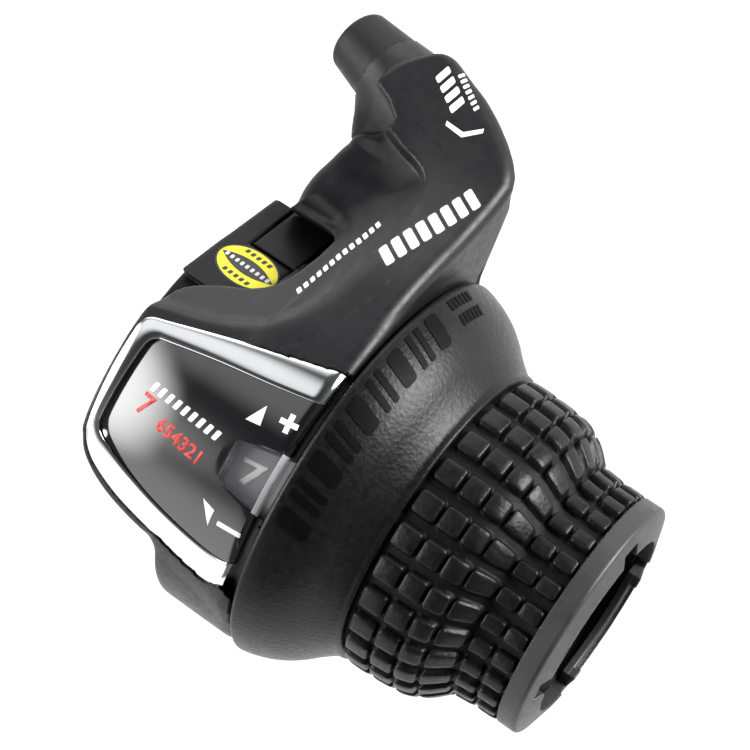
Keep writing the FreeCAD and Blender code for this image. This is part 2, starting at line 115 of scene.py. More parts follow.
def round_corners(points, radius, steps=5):
    """A closed polygon with each corner eased over up to radius along its two sides."""
    p = np.asarray(points, float)
    out = []
    for i in range(len(p)):
        a, b, c = p[i - 1], p[i], p[(i + 1) % len(p)]
        back = min(radius, 0.45 * np.linalg.norm(a - b))
        fore = min(radius, 0.45 * np.linalg.norm(c - b))
        s = b + (a - b) / np.linalg.norm(a - b) * back
        e = b + (c - b) / np.linalg.norm(c - b) * fore
        for k in range(steps + 1):
            t = k / steps
            out.append((1 - t) ** 2 * s + 2 * t * (1 - t) * b + t ** 2 * e)
    return np.array(out)


def smin(a, b, k):
    h = np.clip(0.5 + 0.5 * (b - a) / k, 0, 1)
    return b * (1 - h) + a * h - k * h * (1 - h)


def smax(a, b, k):
    return -smin(-a, -b, k)


def smoothstep(a, b, v):
    t = np.clip((v - a) / (b - a), 0, 1)
    return t * t * (3 - 2 * t)


def inside_distance(x, y, outline):
    """Signed distance to a closed outline, negative inside."""
    best = np.full(np.broadcast(x, y).shape, 1e9)
    odd = np.zeros(best.shape, bool)
    for a, b in zip(outline, np.roll(outline, -1, axis=0)):
        ex, ey = b - a
        wx, wy = x - a[0], y - a[1]
        t = np.clip((wx * ex + wy * ey) / (ex * ex + ey * ey + 1e-12), 0, 1)
        best = np.minimum(best, (wx - ex * t) ** 2 + (wy - ey * t) ** 2)
        if a[1] != b[1]:
            odd ^= ((a[1] > y) != (b[1] > y)) & (x < (b[0] - a[0]) * (y - a[1]) / (b[1] - a[1]) + a[0])
    return np.where(odd, -1, 1) * np.sqrt(best)


def side_distance(x, y, line):
    """Distance to an open line, positive on the left of its direction."""
    best = np.full(np.broadcast(x, y).shape, 1e9)
    side = np.ones(best.shape)
    for a, b in zip(line[:-1], line[1:]):
        ex, ey = b - a
        wx, wy = x - a[0], y - a[1]
        t = np.clip((wx * ex + wy * ey) / (ex * ex + ey * ey), 0, 1)
        d = (wx - ex * t) ** 2 + (wy - ey * t) ** 2
        nearer = d < best
        best = np.where(nearer, d, best)
        side = np.where(nearer, np.sign(ex * wy - ey * wx + 1e-12), side)
    return side * np.sqrt(best)


# ------------------------------------------------------------------ meshes

def surface_net(field, low, high, step):
    """Quads on the zero surface of a field that is negative inside."""
    axes = [np.arange(low[i], high[i] + step, step) for i in range(3)]
    shape = tuple(len(a) for a in axes)
    values = field(axes[0][:, None, None], axes[1][None, :, None], axes[2][None, None, :])
    values = np.broadcast_to(values, shape).astype(np.float32)
    inside = values < 0
    cells = tuple(n - 1 for n in shape)
    count = np.zeros(cells, np.int8)
    for i in (0, 1):
        for j in (0, 1):
            for k in (0, 1):
                count += inside[i:cells[0] + i, j:cells[1] + j, k:cells[2] + k]
    active = (count > 0) & (count < 8)
    index = np.full(cells, -1, np.int64)
    where = np.argwhere(active)
    index[active] = np.arange(len(where))
    total = np.zeros((len(where), 3))
    hits = np.zeros((len(where), 1))
    unit = np.eye(3, dtype=int)
    for axis in range(3):
        u, v = unit[(axis + 1) % 3], unit[(axis + 2) % 3]
        for a in (0, 1):
            for b in (0, 1):
                offset = a * u + b * v
                p = values[tuple((where + offset).T)]
                q = values[tuple((where + offset + unit[axis]).T)]
                cross = (p < 0) != (q < 0)
                t = (p / np.where(cross, p - q, 1))[:, None]
                total += np.where(cross[:, None], offset + t * unit[axis], 0)
                hits += cross[:, None]
    points = (where + total / hits) * step + np.array([a[0] for a in axes])
    quads = []
    for axis in range(3):
        u, v = unit[(axis + 1) % 3], unit[(axis + 2) % 3]
        first = inside[tuple(slice(0, -1) if i == axis else slice(1, -1) for i in range(3))]
        second = inside[tuple(slice(1, None) if i == axis else slice(1, -1) for i in range(3))]
        base = np.argwhere(first != second)
        outward = first[tuple(base.T)]
        base = base + 1 - unit[axis]
        ring = [index[tuple((base - o).T)] for o in (0 * u, u, u + v, v)]
        quad = np.stack(ring, 1)
        quad[~outward] = quad[~outward][:, ::-1]
        quads.append(quad)
    return points, np.concatenate(quads)


def slope_of(field, p, eps=0.04):
    out = np.empty_like(p)
    for i in range(3):
        d = np.zeros(3)
        d[i] = eps
        out[:, i] = (at(field, p + d) - at(field, p - d)) / (2 * eps)
    return out


def at(field, p):
    return field(p[:, 0], p[:, 1], p[:, 2])


def settle(field, points, quads, step, rounds=2):
    """Evens the points out over the surface and puts them back on it."""
    a = quads.ravel()
    b = np.roll(quads, -1, axis=1).ravel()
    for turn in range(rounds + 1):
        if turn:
            total = np.zeros_like(points)
            n = np.zeros(len(points))
            np.add.at(total, a, points[b])
            np.add.at(total, b, points[a])
            np.add.at(n, a, 1)
            np.add.at(n, b, 1)
            points = 0.5 * points + 0.5 * total / n[:, None]
        g = slope_of(field, points)
        move = at(field, points)[:, None] * g / np.maximum((g * g).sum(1, keepdims=True), 0.05)
        length = np.linalg.norm(move, axis=1, keepdims=True)
        points = points - move * np.minimum(1, 0.5 * step / np.maximum(length, 1e-9))
    return points


def new_object(name, points, faces, material, normals=None, smooth=True):
    """points in millimetres; faces a list of index lists or an array of quads."""
    mesh = bpy.data.meshes.new(name)
    mesh.from_pydata((np.asarray(points) * MM).tolist(), [], np.asarray(faces).tolist()
                     if isinstance(faces, np.ndarray) else faces)
    mesh.polygons.foreach_set("use_smooth", [smooth] * len(mesh.polygons))
    mesh.materials.append(material)
    if normals is not None:
        mesh.normals_split_custom_set_from_vertices(normals.tolist())
    obj = bpy.data.objects.new(name, mesh)
    bpy.context.scene.collection.objects.link(obj)
    return obj


def field_object(name, field, low, high, step, material):
    points, quads = surface_net(field, low, high, step)
    points = settle(field, points, quads, step)
    normals = slope_of(field, points, 0.06)
    normals /= np.maximum(np.linalg.norm(normals, axis=1, keepdims=True), 1e-9)
    return new_object(name, points, quads, material, normals)


def patch_object(name, outline, lift, material, holes=(), spacing=0.5, depth=0.4, edge=0.0):
    """A thin plate with this plan outline, laid on the surface that lift(x, y) gives."""
    loops = [np.asarray(outline)] + [np.asarray(h) for h in holes]
    points, edges = [], []
    for loop in loops:
        start = len(points)
        points += [Vector(p) for p in loop]
        edges += [(start + i, start + (i + 1) % len(loop)) for i in range(len(loop))]
    low, high = loops[0].min(0), loops[0].max(0)
    gx, gy = np.meshgrid(np.arange(low[0] + spacing / 2, high[0], spacing),
                         np.arange(low[1] + spacing / 2, high[1], spacing))
    gx, gy = gx.ravel(), gy.ravel()
    keep = inside_distance(gx, gy, loops[0]) < -0.35 * spacing
    for loop in loops[1:]:
        keep &= inside_distance(gx, gy, loop) > 0.35 * spacing
    points += [Vector(p) for p in zip(gx[keep], gy[keep])]
    flat, _, tris, _, _, _ = delaunay_2d_cdt(points, edges, [], 0, 1e-5)
    flat = np.array([(p.x, p.y) for p in flat])
    tris = np.array([t for t in tris])
    middle = flat[tris].mean(1)
    inside = inside_distance(middle[:, 0], middle[:, 1], loops[0]) < 0
    for loop in loops[1:]:
        inside &= inside_distance(middle[:, 0], middle[:, 1], loop) > 0
    tris = tris[inside]
    border = inside_distance(flat[:, 0], flat[:, 1], loops[0])
    top = np.column_stack([flat, lift(flat[:, 0], flat[:, 1])])
    if edge:
        top[:, 2] -= edge * (1 - smoothstep(0, 2.5 * edge, -border))
    bottom = top.copy()
    bottom[:, 2] -= depth
    n = len(flat)
    faces = [list(map(int, t)) for t in tris] + [list(map(int, t[::-1] + n)) for t in tris]
    counts = {}
    for t in tris:
        for a, b in ((t[0], t[1]), (t[1], t[2]), (t[2], t[0])):
            counts[(int(a), int(b))] = counts.get((int(a), int(b)), 0) + 1
    for (a, b) in counts:
        if (b, a) not in counts:
            faces.append([b, a, a + n, b + n])
    obj = new_object(name, np.concatenate([top, bottom]), faces, material)
    sharpen(obj, 40)
    return obj


def sharpen(obj, degrees):
    """Smooth shading with edges steeper than this kept sharp."""
    mesh = obj.data
    bm = bmesh.new()
    bm.from_mesh(mesh)
    for e in bm.edges:
        if len(e.link_faces) == 2:
            e.smooth = e.calc_face_angle(0) < math.radians(degrees)
    bm.to_mesh(mesh)
    bm.free()


def lathe_object(name, profile, material, base, direction, around=96):
    """An (along, radius) profile turned about a line."""
    direction = np.asarray(direction, float)
    side = np.cross(direction, [0, 0, 1.0])
    side /= np.linalg.norm(side)
    up = np.cross(side, direction)
    a = np.arange(around) * 2 * math.pi / around
    rings = []
    for along, r in profile:
        rings.append(base + direction * along + r * (np.cos(a)[:, None] * side + np.sin(a)[:, None] * up))
    n = around
    faces = []
    for i in range(len(profile) - 1):
        for j in range(n):
            k = (j + 1) % n
            faces.append([i * n + j, (i + 1) * n + j, (i + 1) * n + k, i * n + k])
    return new_object(name, np.concatenate(rings), faces, material)


# ------------------------------------------------------------------ materials

def node_material(name):
    m = bpy.data.materials.new(name)
    m.use_nodes = True
    t = m.node_tree
    return m, t, t.nodes["Principled BSDF"]


def noise(tree, scale, detail=4.0, rough=0.55):
    coords = tree.nodes.new("ShaderNodeTexCoord")
    n = tree.nodes.new("ShaderNodeTexNoise")
    n.inputs["Scale"].default_value = scale
    n.inputs["Detail"].default_value = detail
    n.inputs["Roughness"].default_value = rough
    tree.links.new(coords.outputs["Object"], n.inputs["Vector"])
    return n.outputs["Fac"]


def cells(tree, scale):
    coords = tree.nodes.new("ShaderNodeTexCoord")
    n = tree.nodes.new("ShaderNodeTexVoronoi")
    n.inputs["Scale"].default_value = scale
    tree.links.new(coords.outputs["Object"], n.inputs["Vector"])
    return n.outputs["Distance"]


def ramp(tree, value, low, high, from_min=0.3, from_max=0.7):
    n = tree.nodes.new("ShaderNodeMapRange")
    n.inputs["From Min"].default_value = from_min
    n.inputs["From Max"].default_value = from_max
    n.inputs["To Min"].default_value = low
    n.inputs["To Max"].default_value = high
    tree.links.new(value, n.inputs["Value"])
    return n.outputs["Result"]


def tint(tree, value, dark, light, from_min=0.3, from_max=0.7):
    n = tree.nodes.new("ShaderNodeValToRGB")
    n.color_ramp.elements[0].position = from_min
    n.color_ramp.elements[0].color = (*dark, 1)
    n.color_ramp.elements[1].position = from_max
    n.color_ramp.elements[1].color = (*light, 1)
    tree.links.new(value, n.inputs["Fac"])
    return n.outputs["Color"]


def bump(tree, value, distance, strength=1.0, under=None):
    n = tree.nodes.new("ShaderNodeBump")
    n.inputs["Distance"].default_value = distance
    n.inputs["Strength"].default_value = strength
    tree.links.new(value, n.inputs["Height"])
    if under is not None:
        tree.links.new(under, n.inputs["Normal"])
    return n.outputs["Normal"]


def surface(name, dark, light, rough, grain, depth, strength=0.5, metallic=0.0, coat=0.0, spread=0.06,
            specular=0.5):
    """Moulded, plated or rubber surface: colour drift, roughness drift and two sizes of grain."""
    m, t, p = node_material(name)
    t.links.new(tint(t, noise(t, grain * 0.12, 3.0), dark, light), p.inputs["Base Color"])
    t.links.new(ramp(t, noise(t, grain * 0.35, 3.0), rough - spread, rough + spread), p.inputs["Roughness"])
    coarse = bump(t, noise(t, grain * 0.4, 2.0), depth * MM * 1.5, strength * 0.5)
    fine = bump(t, noise(t, grain, 5.0, 0.6), depth * MM, strength, coarse)
    t.links.new(fine, p.inputs["Normal"])
    p.inputs["Metallic"].default_value = metallic
    p.inputs["Coat Weight"].default_value = coat
    p.inputs["Coat Roughness"].default_value = 0.05
    p.inputs["Specular IOR Level"].default_value = specular
    return m


def rubber_material(name, dark, light):
    m, t, p = node_material(name)
    t.links.new(tint(t, noise(t, 900, 4.0), dark, light), p.inputs["Base Color"])
    t.links.new(ramp(t, noise(t, 1600, 4.0), 0.28, 0.42), p.inputs["Roughness"])
    grain = bump(t, cells(t, 1900), 0.00005, 0.45)
    leather = bump(t, noise(t, 2600, 6.0, 0.65), 0.00005, 0.55, grain)
    t.links.new(leather, p.inputs["Normal"])
    p.inputs["Specular IOR Level"].default_value = 0.22
    return m


def cover_material():
    """The housing's plastic, with its reflection turned down around the lobe: painted shade on the lobe."""
    m = surface("cover_satin_lobe_painted_shade", (0.005, 0.005, 0.006), (0.008, 0.008, 0.009), 0.40, 3200, 0.03, 0.35)
    t = m.node_tree
    coords = t.nodes.new("ShaderNodeTexCoord")
    away = t.nodes.new("ShaderNodeVectorMath")
    away.operation = "DISTANCE"
    away.inputs[1].default_value = Vector(LOBE_MIDDLE) * MM
    t.links.new(coords.outputs["Object"], away.inputs[0])
    # Less reflection near the lobe's middle than on the arm: painted shade where the lobe lies in shadow.
    level = ramp(t, away.outputs["Value"], 0.06, 0.32, 0.008, 0.0145)
    t.links.new(level, t.nodes["Principled BSDF"].inputs["Specular IOR Level"])
    return m


def clear_material():
    m, t, p = node_material("smoked_clear")
    t.links.new(tint(t, noise(t, 300), (0.16, 0.16, 0.17), (0.19, 0.19, 0.20)), p.inputs["Base Color"])
    p.inputs["Roughness"].default_value = 0.08
    p.inputs["Alpha"].default_value = 0.16
    return m


housing_mat = surface("housing_satin", (0.005, 0.005, 0.006), (0.008, 0.008, 0.009), 0.40, 3200, 0.03, 0.35,
                      specular=0.14)
base_mat = surface("base_satin", (0.008, 0.008, 0.009), (0.012, 0.012, 0.013), 0.45, 3200, 0.03, 0.35, specular=0.05)
cover_mat = cover_material()
ring_mat = surface("end_ring_matt", (0.018, 0.018, 0.018), (0.026, 0.026, 0.026), 0.45, 3000, 0.03, 0.4)
core_mat = surface("core_nylon", (0.004, 0.004, 0.004), (0.008, 0.008, 0.008), 0.5, 2400, 0.02, 0.3)
outlet_mat = surface("outlet_satin", (0.014, 0.014, 0.015), (0.018, 0.018, 0.019), 0.42, 3000, 0.03, 0.3,
                     specular=0.12)
chrome_mat = surface("chrome_plate", (0.82, 0.83, 0.85), (0.88, 0.89, 0.91), 0.10, 600, 0.01, 0.12, metallic=1.0,
                     spread=0.03)
lens_mat = surface("lens_gloss_black", (0.004, 0.004, 0.005), (0.007, 0.007, 0.008), 0.14, 500, 0.004, 0.1, coat=1.0,
                   spread=0.02, specular=0.9)
steel_mat = surface("zinc_steel", (0.24, 0.245, 0.25), (0.32, 0.325, 0.33), 0.34, 2600, 0.02, 0.3, metallic=1.0)
black_steel = surface("blackened_steel", (0.030, 0.030, 0.032), (0.045, 0.045, 0.048), 0.38, 2600, 0.02, 0.3,
                      metallic=1.0)
acetal_mat = surface("acetal_white", (0.62, 0.62, 0.60), (0.70, 0.70, 0.68), 0.35, 1800, 0.02, 0.2)
number_mat = surface("number_ring_grey", (0.20, 0.20, 0.21), (0.25, 0.25, 0.26), 0.40, 1500, 0.01, 0.2)
white_ink = surface("ink_white", (0.72, 0.72, 0.72), (0.82, 0.82, 0.82), 0.45, 3000, 0.01, 0.2)
# White print on the dial, set whiter than the other white ink: painted light for digits in the shade under the pane.
dial_ink_with_painted_light = surface("ink_dial_with_painted_light", (0.90, 0.90, 0.90), (0.95, 0.95, 0.95), 0.45, 3000, 0.01, 0.2)
# Pale grey ink for the label's ticks, also used for the painted highlight along the window's edge.
pale_ink_and_highlight = surface("ink_pale_and_painted_highlight", (0.42, 0.42, 0.43), (0.50, 0.50, 0.51), 0.45, 3000, 0.01, 0.2)
black_rubber = surface("rubber_black", (0.001, 0.001, 0.001), (0.002, 0.002, 0.002), 0.5, 3000, 0.01, 0.2,
                       specular=0.08)
black_ink = surface("ink_black", (0.004, 0.004, 0.004), (0.008, 0.008, 0.008), 0.40, 3000, 0.01, 0.2)
red_ink = surface("ink_red", (0.55, 0.03, 0.02), (0.66, 0.04, 0.03), 0.45, 3000, 0.01, 0.2)
yellow_ink = surface("ink_yellow", (0.56, 0.50, 0.005), (0.64, 0.57, 0.008), 0.40, 3000, 0.01, 0.2)
rubber_mat = rubber_material("rubber_leathery", (0.003, 0.003, 0.003), (0.007, 0.007, 0.007))
# A darker rubber for the groove floors: painted shade between the grip's blocks.
groove_shade_mat = surface("rubber_groove_painted_shade", (0.0015, 0.0015, 0.0015), (0.003, 0.003, 0.003), 0.6, 2600, 0.03, 0.4,
                     specular=0.2)
clear_mat = clear_material()


# ------------------------------------------------------------------ housing shape

# The outline of the housing in plan, from the window's inboard corner, over the ribbon and the lobe,
# round the arm and back along the rim.
HEAD_SIDE = [(21.9, -22.6), (18.5, -21.9), (12.0, -20.5), (6.0, -19.4), (2.0, -18.1), (-0.9, -16.2), (-2.1, -14.2),
             (-2.55, -12.5), (-2.6, -6.0), (-2.6, 1.5), (-2.3, 3.6)]
RIBBON_SIDE = [(-1.7, 6.6), (1.0, 8.9), (4.2, 10.7), (6.3, 12.9), (7.4, 16.5), (7.9, 19.6), (7.5, 21.0), (5.6, 21.5),
               (2.0, 21.5), (-1.4, 21.5)]
LOBE_SIDE = [(-1.4, 22.0), (-1.5, 24.0), (-1.5, 26.0), (-1.3, 28.2), (-0.8, 31.0), (-0.3, 32.4), (0.4, 33.3),
             (2.2, 34.4), (4.5, 35.7)]
PLATE_END = [(4.9, 37.0), (4.0, 37.9), (2.7, 38.8), (1.3, 39.4), (0.2, 40.0), (0.3, 41.5), (1.15, 43.6), (2.8, 45.7),
             (4.2, 47.0), (5.6, 47.5), (7.0, 47.3)]
ARM_SIDE = [(9.4, 46.4), (12.4, 45.3), (15.1, 43.9), (18.0, 42.0), (20.3, 40.0), (21.5, 38.2), (21.9, 36.0),
            (21.9, 27.0), (21.9, 10.0), (21.9, -10.0)]
HOUSING_PLAN = smooth_line(HEAD_SIDE + RIBBON_SIDE + LOBE_SIDE + PLATE_END + ARM_SIDE, 4, closed=True)

# The main face turns down into the ribbon along RIBBON_RIDGE, and steps down to the lobe along ARM_RIDGE.
RIBBON_RIDGE = smooth_line([(-4.0, 2.0), (-0.5, 3.3), (3.7, 4.5), (8.0, 6.4), (11.0, 8.6), (13.5, 12.2), (14.8, 16.1),
                            (15.4, 20.7), (15.7, 26.0), (15.8, 60.0)], 5)
ARM_RIDGE = smooth_line([(30.0, 19.0), (18.0, 27.6), (14.8, 30.6), (13.2, 32.8), (11.0, 34.1), (8.0, 34.9),
                         (4.8, 36.0), (0.0, 37.6), (-9.0, 40.0)], 5)
TOP_PROFILE = smooth_line([(5.0, 25.92), (8.0, 25.16), (14.0, 23.4), (20.5, 20.9), (26.0, 17.8), (30.0, 15.2),
                           (36.0, 12.4), (44.0, 10.3), (50.0, 9.4)], 12)
LUMP_PLAN = np.array([(-2.2, 36.7), (-2.0, 35.2), (-1.4, 34.0), (-0.6, 33.0), (9.0, 33.0), (9.5, 40.0), (0.0, 40.0)])
RIBBON_SLOPE = 0.72
LOBE_DROP = 6.8
LOBE_FALL = 0.075
BEZEL_OUT = [(21.6, 8.75), (20.4, 8.5), (15.0, 6.9), (8.0, 4.8), (1.0, 2.55), (-1.3, 1.75), (-2.1, 0.6), (-2.2, -1.5),
             (-2.15, -7.0), (-2.0, -12.0), (-1.7, -13.6), (-0.7, -15.3), (1.2, -16.7), (5.0, -18.2), (11.0, -19.5),
             (16.0, -20.5), (19.0, -20.7), (20.8, -20.0)]
BEZEL_IN = [(21.5, 4.3), (20.4, 4.0), (15.5, 3.0), (8.5, 1.8), (2.2, 0.45), (0.9, 0.1), (0.1, -0.7), (-0.15, -2.2),
            (-0.45, -7.0), (-0.65, -11.0), (-0.45, -12.0), (0.2, -12.8), (1.4, -13.4), (5.1, -14.7), (10.3, -16.1),
            (16.0, -17.0), (19.6, -17.1), (21.2, -16.6)]
NUMBER_PLAN = [(15.2, -4.2), (15.2, -9.4), (21.85, -10.5), (21.85, -2.5)]
BEZEL_OUTER = smooth_line(BEZEL_OUT, 6)
BEZEL_INNER = smooth_line(BEZEL_IN, 6)


def band_outside(x, y, z, grow):
    """The clamp band with its two lugs."""
    r = np.hypot(y, z)
    ring = r - BAND_R - grow
    lugs = np.maximum(np.maximum(y - LUG_Y - grow, -13.0 - grow - z),
                      np.maximum((y + z) * 0.7071 - BAND_R - grow, 8.0 - y))
    shape = smin(ring, lugs, 0.4)
    ends = np.maximum(BAND_X0 - grow - x, x - BAND_X1)
    return shape, ends


def outlet_distance(x, y, z):
    """Along the outlet from its base, and out from its centre line."""
    dx, dy, dz = x - OUTLET[0], y - OUTLET[1], z - OUTLET[2]
    along = dx * OUTLET_DIR[0] + dy * OUTLET_DIR[1] + dz * OUTLET_DIR[2]
    out = np.sqrt(np.maximum(dx * dx + dy * dy + dz * dz - along * along, 0))
    return along, out


def ribbon_drop(x, y):
    """How far the ribbon and the lobe lie below the main face, and the main face's height."""
    main = np.interp(y, TOP_PROFILE[:, 0], TOP_PROFILE[:, 1])
    from_ribbon = side_distance(x, y, RIBBON_RIDGE)
    from_arm = side_distance(x, y, ARM_RIDGE)
    side = smin(from_ribbon, from_arm, 5.0)
    slope = RIBBON_SLOPE * 0.5 * (side + np.sqrt(side * side + 0.35))
    crest = smin(slope, LOBE_DROP, 4.0) + LOBE_FALL * np.maximum(side - 9.5, 0) ** 2
    slope = slope + (crest - slope) * smoothstep(20, 25, y)
    step = 1.3 * smoothstep(15.5, 11.0, x) * smoothstep(-0.1, 1.0, from_arm) * smoothstep(0.0, 2.0, from_ribbon)
    return np.where(side < -3, 0, slope) + step, main


def housing_field(x, y, z):
    r = np.hypot(y, z)
    plan = inside_distance(x, y, HOUSING_PLAN)
    drop, main = ribbon_drop(x, y)
    lid_main = np.where(y < 6, r - SHELL_R, (z - main) * 0.9)
    lid = lid_main + drop * 0.85

    lobe = smoothstep(10, 6, x) * smoothstep(21, 23, y) * smoothstep(34, 32, y)
    crisp = smoothstep(12, 8, x) * smoothstep(22, 20, y)
    plate = smoothstep(8, 4, x) * smoothstep(34.5, 36, y)
    ease = 2.0 + 2.8 * lobe - 1.5 * crisp - 1.4 * plate
    left_floor = ARM_FLOOR * smoothstep(6, 18, y) - 2.0 * smoothstep(18, 6, y) + 5.0 * smoothstep(38, 41.5, y)
    sloping = ARM_FLOOR + UNDER_RISE[0] * (x - UNDER_AT[0]) + UNDER_RISE[1] * (y - UNDER_AT[1])
    sloping = np.clip(sloping, left_floor, main - 3.0)
    floor = left_floor + (sloping - left_floor) * smoothstep(3, 12, x) * smoothstep(22, 26, y)
    lean = 0.35 * smoothstep(35.5, 38.5, y) * smoothstep(0, 4, x)
    upper = smax(plan + lean * np.clip(main - 1.5 - z, 0, 20), lid, ease)
    upper = smax(upper, (floor - z) * 0.75, 1.5 + 3.0 * lobe * smoothstep(22, 26, y))
    shoulder = smax((z - 5.4 - 0.8 * (x + 2.0)) * 0.78, smax(z - 8.0, lid + 1.0, 0.5), 1.0)
    lump = smax(smax(inside_distance(x, y, LUMP_PLAN), shoulder, 1.5), floor - z, 2.0)
    along, out = outlet_distance(x, y, z)
    boss = np.maximum(out - (OUTLET_BASE_R - 0.15 * along), np.maximum(along + 0.02, -9.0 - along))
    cheek = np.maximum(smin(smax(boss, lid + 0.5, 0.5), lump, 3.2), along + 0.02)
    upper = smin(upper, smax(cheek, lid + 0.5, 0.5), 0.4)
    drum = smax(r - SHELL_R, np.abs(x - (DRUM_X0 + RIM_X) / 2) - (RIM_X - DRUM_X0) / 2, 1.6)
    drum = smax(drum, np.where(z > 0, lid, -1.0), 0.35)
    neck = np.maximum(r - NECK_R, np.abs(x - (NECK_X0 + DRUM_X0) / 2 - 0.5) - (DRUM_X0 - NECK_X0) / 2 - 0.5)
    body = smin(smin(upper, drum, 1.4), neck, 1.2)

    band, ends = band_outside(x, y, z, 0.02 + 0.2 * smoothstep(0, 2.0, z))
    body = np.maximum(body, -np.maximum(band, ends))
    body = np.maximum(body, -np.maximum(r - CAVITY_R, CAVITY_X - x))
    body = np.maximum(body, -np.maximum(r - 18.2, 8.0 - x))
    body = np.maximum(body, 12.25 - r)
    seat = np.maximum(inside_distance(x, y, BEZEL_SEAT), np.maximum(SEAT_R - r, 5 - z))
    body = np.maximum(body, -seat)
    sight = np.maximum(inside_distance(x, y, SIGHT), np.maximum(22.0 - r, 5 - z))
    body = np.maximum(body, -sight)
    socket = np.maximum(out - OUTLET_BASE_R - 0.02, -along - 0.02)
    return np.maximum(body, -socket)


BEZEL_SEAT = np.concatenate([BEZEL_OUTER, [(24.0, -21.6), (24.0, 9.2)]])
BEZEL_SEAT = BEZEL_SEAT + 0.15 * (np.mean(BEZEL_SEAT, axis=0) - BEZEL_SEAT) / 12
SIGHT = np.array([(15.4, -4.4), (15.4, -9.2), (24.0, -10.6), (24.0, -2.4)])


def cover_field(x, y, z):
    return smax(housing_field(x, y, z), PART_Z + 0.03 - z, 0.25)


def base_field(x, y, z):
    body = smax(housing_field(x, y, z), z - PART_Z + 0.03, 0.25)
    for screw_x, screw_y, seat in SCREWS:
        body = np.maximum(body, -np.maximum(np.hypot(x - screw_x, y - screw_y) - 1.9, z - seat))
    return body


def build_housing():
    step = 0.34
    cover = field_object("top_cover_shell", cover_field, (-4.6, -27.3, 1.3), (22.7, 49.2, 27.3), step, cover_mat)
    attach(cover, FIXED_BODY)
    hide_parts("top_cover")
    base = field_object("bracket_base_shell", base_field, (-4.9, -27.3, -27.3), (22.7, 49.2, 2.7), step, base_mat)
    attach(base, FIXED_BODY)
    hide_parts("bracket_base")


# ------------------------------------------------------------------ clamp band

def plate_field(x, y, z):
    outside, ends = band_outside(x, y, z, 0.0)
    block = np.maximum(np.maximum(15.3 - y, y - LUG_Y + 0.1), np.maximum(-1.8 - x, x - BAND_X1))
    block = smax(block, outside, 0.5)
    return np.maximum(block, 1.5 - z)


def band_field(x, y, z):
    outside, ends = band_outside(x, y, z, 0.0)
    body = smax(outside, ends, 0.9)
    body = smax(body, BAND_BORE_R - np.hypot(y, z), 0.4)
    slit = np.maximum(np.abs(z + 0.6) - 0.6, 5 - y)
    body = smax(body, -slit, 0.3)
    recess = np.maximum(np.maximum(15.1 - y, -2.0 - x), 1.4 - z)
    body = smax(body, -recess, 0.3)
    bolt = np.maximum(np.hypot(np.minimum(x - 0.4, 0), y - 18.3) - 4.3, z + 8.0)
    body = smax(body, -bolt, 0.3)
    shank = np.maximum(np.hypot(x - 0.4, y - 18.3) - 2.7, z - 4.6)
    return np.maximum(body, -shank)


def build_clamp():
    step = 0.3
    band = field_object("clamp_band_shell", band_field, (-5.6, -19.2, -19.2), (5.4, 22.6, 19.2), step, housing_mat)
    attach(band, FIXED_BODY)
    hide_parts("clamp_band")
    plate = field_object("clamp_plate_cap", plate_field, (-2.6, 14.5, 0.8), (5.4, 22.4, 12.5), 0.25, housing_mat)
    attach(plate, FIXED_BODY)
    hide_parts("clamp_plate")


# ------------------------------------------------------------------ indicator

def top_radius(x, r):
    """The indicator's radius, eased down towards the rim by the grip."""
    u = np.clip((x - BEVEL_X) / (RIM_X - BEVEL_X), 0, 1)
    return r - BEVEL_DROP * u * u


def lift_to(r):
    def lift(x, y):
        return np.sqrt(np.maximum(top_radius(x, r) ** 2 - y ** 2, 1))
    return lift


def build_bezel():
    across = [(0.0, -1.2), (0.0, -0.12), (0.02, -0.03), (0.06, 0.03), (0.15, 0.08), (0.3, 0.13), (0.5, 0.15),
              (0.7, 0.13), (0.85, 0.08), (0.93, 0.03), (0.98, -0.05), (1.0, -0.15), (1.0, -1.0)]
    rows = []
    for t, rise in across:
        flat = BEZEL_OUTER * (1 - t) + BEZEL_INNER * t
        r = top_radius(flat[:, 0], BEZEL_TOP_R) + rise
        rows.append(np.column_stack([flat, np.sqrt(r ** 2 - flat[:, 1] ** 2)]))
    n = len(rows[0])
    m = len(rows)
    faces = []
    for i in range(m):
        for j in range(n - 1):
            k = (i + 1) % m
            faces.append([i * n + j, i * n + j + 1, k * n + j + 1, k * n + j])
    faces.append([i * n for i in range(m)])
    faces.append([i * n + n - 1 for i in reversed(range(m))])
    bezel = new_object("bezel_chrome_frame", np.concatenate(rows), faces, chrome_mat)
    sharpen(bezel, 50)
    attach(bezel, FIXED_BODY)
    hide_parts("indicator_bezel")


def lens_lift(x, y):
    """The lens dips towards its inboard end."""
    dip = LENS_DIP * np.clip((LENS_DIP_X - x) / LENS_DIP_LENGTH, 0, 1) ** 2
    return np.sqrt(np.maximum((top_radius(x, LENS_TOP_R) - dip) ** 2 - y ** 2, 1))


def build_lens():
    middle = BEZEL_INNER.mean(axis=0)
    outline = BEZEL_INNER + 0.06 * (middle - BEZEL_INNER) / np.linalg.norm(middle - BEZEL_INNER, axis=1)[:, None]
    hole = round_corners(NUMBER_PLAN, 0.5)
    hole[:, 0] = np.minimum(hole[:, 0], 21.6)
    lens = patch_object("lens_black_plate", outline, lens_lift, lens_mat, holes=[hole], depth=1.0)
    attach(lens, FIXED_BODY)
    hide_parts("indicator_lens")
    inner = hole + 0.006 * (hole.mean(axis=0) - hole) / np.linalg.norm(hole.mean(axis=0) - hole, axis=1)[:, None]
    window = patch_object("number_window_pane", inner, lift_to(LENS_TOP_R), clear_mat, depth=0.7)
    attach(window, FIXED_BODY)
    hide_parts("number_window")


# ------------------------------------------------------------------ printed marks

